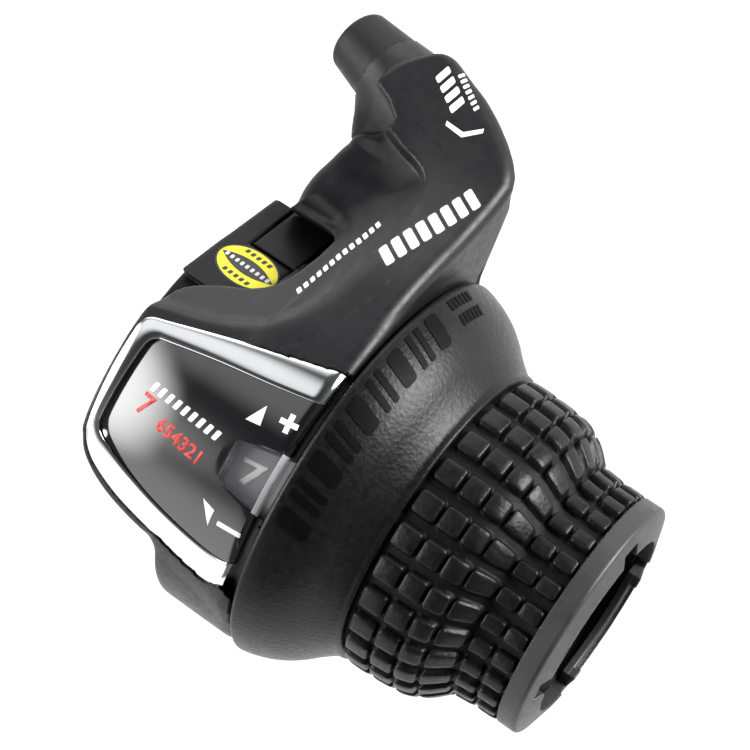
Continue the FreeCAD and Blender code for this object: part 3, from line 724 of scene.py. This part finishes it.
def cut_up(bm, pitch):
    """Cuts flat letters into small faces so that they follow a curved surface."""
    for axis in (0, 1):
        values = [v.co[axis] for v in bm.verts]
        place = min(values) + pitch
        while place < max(values):
            point = Vector((0, 0, 0))
            point[axis] = place
            normal = Vector((0, 0, 0))
            normal[axis] = 1
            bmesh.ops.bisect_plane(bm, geom=bm.verts[:] + bm.edges[:] + bm.faces[:], plane_co=point, plane_no=normal)
            place += pitch


def glyph_mesh(text, size, bold=0.0, wide=1.0):
    """Flat digits in millimetres, centred on the origin and stretched sideways."""
    curve = bpy.data.curves.new("glyph", "FONT")
    curve.body = text
    curve.size = size
    curve.offset = bold
    curve.resolution_u = 6
    obj = bpy.data.objects.new("glyph", curve)
    mesh = bpy.data.meshes.new_from_object(obj)
    bm = bmesh.new()
    bm.from_mesh(mesh)
    bpy.data.objects.remove(obj)
    bpy.data.meshes.remove(mesh)
    bpy.data.curves.remove(curve)
    low = [min(v.co[i] for v in bm.verts) for i in (0, 1)]
    high = [max(v.co[i] for v in bm.verts) for i in (0, 1)]
    for v in bm.verts:
        v.co.x = (v.co.x - (low[0] + high[0]) / 2) * wide
        v.co.y -= (low[1] + high[1]) / 2
        v.co.z = 0
    return bm


def polygon_mesh(points):
    bm = bmesh.new()
    bm.faces.new([bm.verts.new((x, y, 0)) for x, y in points])
    bmesh.ops.triangulate(bm, faces=bm.faces[:])
    return bm


def print_on(name, bm, place, material, body, pitch=0.5, thick=0.05):
    """Lays flat marks on a surface: place(u, v) gives the points there and the way out of the surface."""
    cut_up(bm, pitch)
    for f in bm.faces:
        f.normal_update()
        if f.normal.z < 0:
            f.normal_flip()
    kept = [v.co.copy() for v in bm.verts]
    top = bm.faces[:]
    made = bmesh.ops.extrude_face_region(bm, geom=top)
    lifted = [g for g in made["geom"] if isinstance(g, bmesh.types.BMVert)]
    for v in lifted:
        v.co.z = 1.0
    bmesh.ops.recalc_face_normals(bm, faces=bm.faces[:])
    uv = np.array([v.co[:] for v in bm.verts])
    point, out = place(uv[:, 0], uv[:, 1])
    final = point + out * (thick * (uv[:, 2] * 1.0 - 0.3))[:, None]
    for v, p in zip(bm.verts, final):
        v.co = Vector(p) * MM
    mesh = bpy.data.meshes.new(name)
    bm.to_mesh(mesh)
    bm.free()
    mesh.materials.append(material)
    obj = bpy.data.objects.new(name, mesh)
    bpy.context.scene.collection.objects.link(obj)
    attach(obj, body)
    return obj


def on_window(x0, y0, turn=0.0):
    """Marks on the window: u runs outboard and v forward, turned by an angle in degrees."""
    c, s = math.cos(math.radians(turn)), math.sin(math.radians(turn))

    def place(u, v):
        x = x0 + c * u - s * v
        y = y0 + s * u + c * v
        z = lens_lift(x, y)
        out = np.column_stack([0 * x, y / LENS_TOP_R, z / LENS_TOP_R])
        return np.column_stack([x, y, z]), out
    return place


def rounded_bar(length, width, slant=0.0):
    a, b, corner = length / 2, width / 2, min(length, width) * 0.25
    points = round_corners([(-a, -b), (a, -b), (a, b), (-a, b)], corner, 3)
    points[:, 0] += slant * points[:, 1]
    return points


def bars_mesh(places, length, width, slant=0.0):
    bm = bmesh.new()
    for px, py in places:
        bm.faces.new([bm.verts.new((px + u, py + v, 0)) for u, v in rounded_bar(length, width, slant)])
    bmesh.ops.triangulate(bm, faces=bm.faces[:])
    return bm


def boxes_mesh(boxes):
    bm = bmesh.new()
    for px, py, wide, tall in boxes:
        corners = [(px + i * wide / 2, py + j * tall / 2, 0) for i, j in ((-1, -1), (1, -1), (1, 1), (-1, 1))]
        bm.faces.new([bm.verts.new(c) for c in corners])
    return bm


def build_window_marks():
    up = [(-1.0, -1.1), (0.9, -0.8), (0.3, 1.5)]
    print_on("mark_up", polygon_mesh(up), on_window(15.8, -0.75), white_ink, FIXED_BODY)
    down = [(-1.0, 0.8), (0.8, 0.35), (0.75, -1.6)]
    print_on("mark_down", polygon_mesh(down), on_window(15.9, -12.9), white_ink, FIXED_BODY)
    arms = [(0, 0, 2.3, 0.66), (0, 0.74, 0.66, 0.82), (0, -0.74, 0.66, 0.82)]
    print_on("mark_plus", boxes_mesh(arms), on_window(19.4, 0.45, 8), white_ink, FIXED_BODY)
    print_on("mark_minus", bars_mesh([(0, 0)], 3.2, 0.55), on_window(19.2, -13.45, 5), white_ink, FIXED_BODY)
    # A pale strip along the pane's gap edge: a painted highlight where light catches that edge.
    edge = boxes_mesh([(0.0, 0.0, 0.75, 7.6)])
    print_on("window_edge_painted_highlight", edge, on_window(21.1, -6.5), pale_ink_and_highlight, FIXED_BODY, thick=0.03)
    ticks = [(1.17 * (i - 4), 0.0) for i in range(9)]
    print_on("mark_ticks", bars_mesh(ticks, 0.62, 1.25, 0.2), on_window(8.2, -4.95, -3.5), white_ink, FIXED_BODY)
    print_on("mark_red_seven", glyph_mesh("7", 3.6, 0.06), on_window(3.6, -7.0, -6), red_ink, FIXED_BODY)
    print_on("mark_red_row", glyph_mesh("654321", 2.3, 0.06), on_window(9.2, -8.15, -7), red_ink, FIXED_BODY)


def on_ring(x0, turn, radius, tilt=0.0):
    """Marks on a ring about the bar: u runs outboard, v the other way round from the turn."""
    c, s = math.cos(math.radians(tilt)), math.sin(math.radians(tilt))

    def place(u, v):
        x = x0 + c * u - s * v
        a = math.radians(turn) - (s * u + c * v) / radius
        out = np.column_stack([0 * x, -np.sin(a), np.cos(a)])
        return out * radius + np.column_stack([x, 0 * x, 0 * x]), out
    return place


def build_dial_numbers():
    # The digits use the whitened dial ink: white print plus painted light against the shade under the pane.
    for number in range(1, 8):
        turn = WINDOW_TURN - CLICK * (7 - number)
        print_on("dial_number_%d" % number, glyph_mesh(str(number), 4.3, 0.08, 1.6),
                 on_ring(18.2, turn, NUMBER_R + 0.02, 8), dial_ink_with_painted_light, GRIP_BODY)


def on_top_of(field, x0, y0, turn):
    """Marks on the highest surface of a field: u and v run in plan, turned by an angle in degrees."""
    c, s = math.cos(math.radians(turn)), math.sin(math.radians(turn))

    def place(u, v):
        x = x0 + c * u - s * v
        y = y0 + s * u + c * v
        high, low = np.full(x.shape, 28.0), np.full(x.shape, 2.0)
        for _ in range(24):
            middle = (high + low) / 2
            above = field(x, y, middle) > 0
            high, low = np.where(above, middle, high), np.where(above, low, middle)
        points = np.column_stack([x, y, (high + low) / 2])
        out = slope_of(field, points, 0.15)
        return points, out / np.linalg.norm(out, axis=1, keepdims=True)
    return place


def ellipse(a, b, steps=64):
    t = np.arange(steps) * 2 * math.pi / steps
    return np.column_stack([a * np.cos(t), b * np.sin(t)])


def lens_shape(a, b, steps=24):
    t = np.linspace(-1, 1, steps)
    top = np.column_stack([a * t, b * (1 - t * t)])
    return np.concatenate([top, top[::-1][1:-1] * [1, -1]])


def build_label():
    place = on_top_of(band_field, 0.5, 12.55, -2)
    rim = print_on("label_black_rim", polygon_mesh(ellipse(4.25, 2.5)), place, black_ink, FIXED_BODY,
                   thick=0.05)
    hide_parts("oval_label")
    print_on("label_yellow_oval", polygon_mesh(ellipse(4.05, 2.3)), place, yellow_ink, FIXED_BODY,
             thick=0.09)
    print_on("label_black_band", polygon_mesh(lens_shape(3.9, 0.95)), place, black_ink, FIXED_BODY,
             thick=0.13)
    marks = [(0.85 * (i - 2), side * 1.62) for side in (-1, 1) for i in range(5)]
    print_on("label_black_ticks", bars_mesh(marks, 0.5, 0.5, 0.2), place, black_ink, FIXED_BODY,
             thick=0.13)
    dots = [(0.78 * (i - 4), 0.0) for i in range(9)]
    print_on("label_grey_ticks", bars_mesh(dots, 0.42, 0.5), place, pale_ink_and_highlight, FIXED_BODY, thick=0.17)


def build_arm_marks():
    arm = on_top_of(housing_field, 17.5, 28.1, 74.5)
    bars = [(1.66 * (i - 3.5), 0.0) for i in range(8)]
    outline = bars_mesh(bars, 1.5, 3.0, 0.18)
    print_on("arm_bars_shadow", outline, arm, black_ink, FIXED_BODY, thick=0.03)
    print_on("arm_bars", bars_mesh(bars, 1.12, 2.6, 0.18), arm, white_ink, FIXED_BODY, thick=0.06)
    row = [(0.98 * (i - 6), 0.0) for i in range(13)]
    print_on("ribbon_dashes", bars_mesh(row, 0.62, 0.85, 0.2), on_top_of(housing_field, 10.5, 19.4, 80), white_ink, FIXED_BODY)
    tip = on_top_of(housing_field, 9.3, 43.2, -32)
    print_on("tip_bars", bars_mesh([(1.45 * (i - 2.3), 0.0) for i in range(4)], 0.95, 2.0, -0.35), tip, white_ink,
             FIXED_BODY)
    print_on("tip_small_bars", bars_mesh([(0.8 * (i - 3), 1.9) for i in range(7)], 0.45, 0.75, -0.2), tip, white_ink,
             FIXED_BODY)
    chevron = [(-2.3, 0.45), (0.0, -0.55), (2.3, 0.45), (2.3, -0.15), (0.0, -1.25), (-2.3, -0.15)]
    print_on("tip_chevron", polygon_mesh(chevron), on_top_of(housing_field, 12.7, 40.7, 20), white_ink, FIXED_BODY)


# ------------------------------------------------------------------ grip rubber

FLANGE_PROFILE = smooth_line([(22.5, 25.9), (22.62, 26.4), (22.95, 26.66), (23.4, 26.66), (24.6, 26.35), (26.2, 25.75),
                              (28.0, 24.8), (29.6, 23.6), (31.0, 22.3), (32.2, 21.3), (33.2, 20.6), (33.9, 20.45),
                              (34.25, 20.3)], 8)
CROWN_PROFILE = smooth_line([(34.3, 20.3), (37.0, 20.3), (40.0, 20.1), (42.6, 19.75), (44.4, 19.0), (45.8, 18.0),
                             (47.0, 16.9), (48.2, 16.3), (51.0, 16.05), (53.7, 15.95)], 8)
COLUMNS = [(34.75, 37.9), (38.3, 41.15), (41.5, 44.1), (44.45, 47.3), (47.75, 50.4), (50.75, 53.45)]
GROOVE_DEPTH = 1.05
GROOVE_HALF = 0.72
ROW_TURN = -3.9
def block_height(x, around):
    """0 in a groove and 1 on a block's crown; around is millimetres from the row's middle line."""
    height = np.zeros(np.broadcast(x, around).shape)
    pitch_half = np.interp(x, CROWN_PROFILE[:, 0], CROWN_PROFILE[:, 1]) * math.pi / BLOCK_ROWS
    for x0, x1 in COLUMNS:
        a = (x1 - x0) / 2
        b = pitch_half - GROOVE_HALF
        corner = 0.5
        u = np.abs(x - (x0 + x1) / 2) - a + corner
        v = np.abs(around) - b + corner
        d = np.hypot(np.maximum(u, 0), np.maximum(v, 0)) + np.minimum(np.maximum(u, v), 0) - corner
        wall = smoothstep(0.14, -0.12, d)
        crown = 0.12 * smoothstep(0.0, -0.8, d)
        height = np.maximum(height, wall * (0.90 + crown))
    return height


def on_flange(x0, turn, tilt=0.0):
    """Marks on the flange's dome: u runs outboard and v forward over the top."""
    c, s = math.cos(math.radians(tilt)), math.sin(math.radians(tilt))

    def radius(x):
        return np.interp(x, FLANGE_PROFILE[:, 0], FLANGE_PROFILE[:, 1])

    def place(u, v):
        x = x0 + c * u - s * v
        r = radius(x)
        a = math.radians(turn) - (s * u + c * v) / radius(x0)
        fall = (radius(x + 0.3) - radius(x - 0.3)) / 0.6
        out = np.column_stack([-fall, -np.sin(a), np.cos(a)])
        points = np.column_stack([x, -r * np.sin(a), r * np.cos(a)])
        return points, out / np.linalg.norm(out, axis=1, keepdims=True)
    return place


def build_flange_marks():
    """A row of raised black bars, wide and narrow in turn, then two short rows of small bars."""
    for i in range(9):
        turn = 19.5 - 8.1 * i
        if i % 2:
            shape = bars_mesh([(-0.8, 0.0), (0.8, 0.0)], 0.9, 3.8, 0.25)
        else:
            shape = bars_mesh([(0.0, 0.0)], 2.3, 3.8, 0.25)
        print_on("flange_mark_%d" % (i + 1), shape, on_flange(25.7, turn, 90), black_rubber, GRIP_BODY,
                 thick=0.16)
    small = [(0.95 * (i - 2.5), 1.0 - 2.0 * row) for row in (0, 1) for i in range(6)]
    print_on("flange_small_bars", bars_mesh(small, 0.6, 1.3, 0.2), on_flange(25.4, -61.0, 90), black_rubber, GRIP_BODY,
             thick=0.12)


def build_grip():
    per_row = 22
    turns = np.arange(BLOCK_ROWS * per_row) * 2 * math.pi / (BLOCK_ROWS * per_row)
    xs = [FLANGE_PROFILE[i, 0] for i in range(0, len(FLANGE_PROFILE), 2)]
    for i, (x0, x1) in enumerate(COLUMNS):
        edge = [x0 - 0.12, x0 - 0.02, x0 + 0.06, x0 + 0.16, x0 + 0.32]
        far = [x1 - 0.32, x1 - 0.16, x1 - 0.06, x1 + 0.02, x1 + 0.12]
        xs += edge + list(np.linspace(x0 + 0.6, x1 - 0.6, 5)) + far
    xs += [53.66, 53.7]
    xs = np.array(xs)
    flange = xs <= 34.2
    base = np.where(flange, np.interp(xs, FLANGE_PROFILE[:, 0], FLANGE_PROFILE[:, 1]),
                    np.interp(xs, CROWN_PROFILE[:, 0], CROWN_PROFILE[:, 1]))
    row_turn = 2 * math.pi / BLOCK_ROWS
    from_row = (turns - math.radians(ROW_TURN) + row_turn / 2) % row_turn - row_turn / 2
    x = xs[:, None]
    r = base[:, None] + 0 * turns
    around = from_row[None, :] * base[:, None]
    height = block_height(x, around)
    r = np.where(flange[:, None], r, r - GROOVE_DEPTH * (1 - height))
    rows = [np.column_stack([np.full(len(turns), xs[i]), -r[i] * np.sin(turns), r[i] * np.cos(turns)])
            for i in range(len(xs))]
    for x_in, r_in in ((53.7, 14.0), (47.0, 14.0), (43.0, 17.1), (33.4, 17.5), (28.0, 22.1), (23.45, 24.25),
                       (FLANGE_X, 24.25), (FLANGE_X, 25.6)):
        rows.append(np.column_stack([np.full(len(turns), x_in), -r_in * np.sin(turns), r_in * np.cos(turns)]))
    n = len(turns)
    m = len(rows)
    i, j = np.meshgrid(np.arange(m), np.arange(n), indexing="ij")
    k, l = (i + 1) % m, (j + 1) % n
    faces = np.stack([i * n + j, i * n + l, k * n + l, k * n + j], -1).reshape(-1, 4)
    grip = new_object("grip_rubber_cover", np.concatenate(rows), faces, rubber_mat)
    grip.data.materials.append(groove_shade_mat)
    # Faces low in the grooves take the darker groove material: painted shade between the blocks.
    low = np.zeros((m, n), bool)
    low[:len(xs)] = (height < 0.55) & ~flange[:, None] & (xs[:, None] < 53.55)
    corners = low.ravel()[faces]
    grip.data.polygons.foreach_set("material_index", (corners.sum(1) >= 3).astype(np.int32))
    sharpen(grip, 70)
    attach(grip, GRIP_BODY)
    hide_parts("grip_rubber")


def end_ring_field(x, y, z):
    r = np.hypot(y, z)
    turn = np.arctan2(-y, z)
    band = np.maximum(r - 15.92, 53.72 - x)
    nose = (x - 56.35 - (15.7 - r) * 0.28) * 0.96
    body = smax(band, nose, 0.45)
    cut = np.maximum(np.maximum(56.45 - x, r - 13.4), 2.64 - np.abs(turn))
    body = smax(body, -cut, 0.15)
    body = smax(body, 12.0 - r, 0.3)
    body = np.maximum(body, -np.maximum(r - 13.92, x - 55.4))
    local = (turn + math.pi) % (math.pi / 2) - math.pi / 4
    notch = np.maximum(np.abs(local * r) - 1.5, np.maximum(r - 13.9, 54.9 - x))
    return smax(body, -notch, 0.2)


def build_end_ring():
    step = 0.22
    ring = field_object("end_ring_nose", end_ring_field, (53.7, -16.5, -16.5), (58.4, 16.5, 16.5), step, ring_mat)
    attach(ring, GRIP_BODY)
    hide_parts("grip_end_ring")


# ------------------------------------------------------------------ cable outlet

def build_outlet():
    profile = [(-1.0, 3.2), (-1.0, OUTLET_BASE_R), (0.0, 5.0)]
    for k in range(12):
        s = 0.5 + 5.1 * k / 11
        profile.append((s, OUTLET_BASE_R + (OUTLET_END_R - OUTLET_BASE_R) * (s + 1) / (OUTLET_L + 1)))
    for k in range(9):
        a = math.radians(90 * (k + 1) / 9)
        profile.append((OUTLET_L - 1.0 + 1.0 * math.sin(a), OUTLET_END_R - 0.87 + 1.0 * math.cos(a)))
    profile += [(OUTLET_L - 0.1, 3.15), (OUTLET_L - 0.5, 3.1), (0.0, 3.1)]
    outlet = lathe_object("outlet_tapered_tube", profile, outlet_mat, OUTLET, OUTLET_DIR)
    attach(outlet, FIXED_BODY)
    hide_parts("cable_outlet")


# ------------------------------------------------------------------ carried-over CAD pieces

NODE_MATERIALS = {"clamp_bolt": steel_mat, "cover_screws": black_steel, "outlet_ferrule": steel_mat,
                  "retaining_ring": steel_mat, "detent_pin": steel_mat, "detent_spring": steel_mat,
                  "detent_lever": steel_mat, "roller_axle": steel_mat, "detent_roller": steel_mat,
                  "cable_guide": acetal_mat, "thrust_washer": acetal_mat, "cable_drum": acetal_mat,
                  "detent_ring": acetal_mat, "number_ring": number_mat, "bar_sleeve": core_mat,
                  "grip_core": core_mat}


def dress_nodes():
    for name, material in NODE_MATERIALS.items():
        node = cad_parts[name]
        node.data.materials.clear()
        node.data.materials.append(material)


# ------------------------------------------------------------------ stage, light and camera

def build_stage():
    points = [(-900, -900, -90), (900, -900, -90), (900, 900, -90), (-900, 900, -90)]
    white, t, p = node_material("stage_white")
    t.links.new(tint(t, noise(t, 6), (0.70, 0.70, 0.70), (0.73, 0.73, 0.73)), p.inputs["Base Color"])
    p.inputs["Roughness"].default_value = 0.8
    floor = new_object("floor", np.array(points, float), [[0, 1, 2, 3]], white)


# The camera stands 250 mm from the grip's end, leaning 15.5 degrees outboard from straight above.
CAMERA_LEAN = 0.271
CAMERA_ROLL = 0.585
CAMERA_AWAY = 250.0
CAMERA_SHIFT = (-25.84, 29.44)
GRIP_END_X = 56.5
CAMERA_LENS = 101.09


# The room's brightness overhead and lower down, and each bank's direction, inner and outer angle and strength.
OVERHEAD = 0.04
ROOM = 0.15
LIGHT_BANKS = [((-0.53, 0.83, 0.15), 13, 44, 2.5), ((0.68, 0.66, 0.30), 6, 24, 26.0),
               ((-0.75, -0.42, 0.50), 10, 34, 8.0), ((-0.42, 0.18, 0.88), 7, 22, 0.95),
               ((-0.30, -0.92, 0.18), 8, 28, 1.3)]


def build_camera():
    back = np.array([math.sin(CAMERA_LEAN), 0, math.cos(CAMERA_LEAN)])
    flat = np.array([math.cos(CAMERA_LEAN), 0, -math.sin(CAMERA_LEAN)])
    ahead = np.array([0, 1.0, 0])
    right = math.cos(CAMERA_ROLL) * flat + math.sin(CAMERA_ROLL) * ahead
    up = -math.sin(CAMERA_ROLL) * flat + math.cos(CAMERA_ROLL) * ahead
    place = back * CAMERA_AWAY + CAMERA_SHIFT[0] * right + CAMERA_SHIFT[1] * up + np.array([GRIP_END_X, 0, 0])
    camera = bpy.data.cameras.new("camera")
    camera.lens = CAMERA_LENS
    camera.sensor_width = 36
    camera.clip_start = 0.01
    obj = bpy.data.objects.new("camera", camera)
    turn = Matrix([right, up, back]).transposed()
    obj.matrix_world = Matrix.Translation(Vector(place * MM)) @ turn.to_4x4()
    bpy.context.scene.collection.objects.link(obj)
    bpy.context.scene.camera = obj


def build_lights():
    """A white room that is darkest overhead, with soft banks of light low on both sides."""
    world = bpy.data.worlds.new("studio")
    world.use_nodes = True
    tree = world.node_tree
    bpy.context.scene.world = world
    coords = tree.nodes.new("ShaderNodeTexCoord")
    parts = tree.nodes.new("ShaderNodeSeparateXYZ")
    tree.links.new(coords.outputs["Generated"], parts.inputs[0])
    total = ramp(tree, parts.outputs["Z"], OVERHEAD, ROOM, 0.97, 0.55)
    for direction, inner, outer, strength in LIGHT_BANKS:
        towards = tree.nodes.new("ShaderNodeVectorMath")
        towards.operation = "DOT_PRODUCT"
        towards.inputs[1].default_value = Vector(direction).normalized()
        tree.links.new(coords.outputs["Generated"], towards.inputs[0])
        fall = ramp(tree, towards.outputs["Value"], 0, strength, math.cos(math.radians(outer)),
                    math.cos(math.radians(inner)))
        fall.node.interpolation_type = "SMOOTHSTEP"
        add = tree.nodes.new("ShaderNodeMath")
        tree.links.new(total, add.inputs[0])
        tree.links.new(fall, add.inputs[1])
        total = add.outputs[0]
    tree.nodes["Background"].inputs["Color"].default_value = (1, 1, 1, 1)
    tree.links.new(total, tree.nodes["Background"].inputs["Strength"])
    bpy.context.scene.view_settings.view_transform = "Standard"


build_camera()
build_lights()
build_stage()
build_housing()
build_clamp()
build_bezel()
build_lens()
build_window_marks()
build_dial_numbers()
build_label()
build_arm_marks()
build_grip()
build_flange_marks()
build_end_ring()
build_outlet()
dress_nodes()
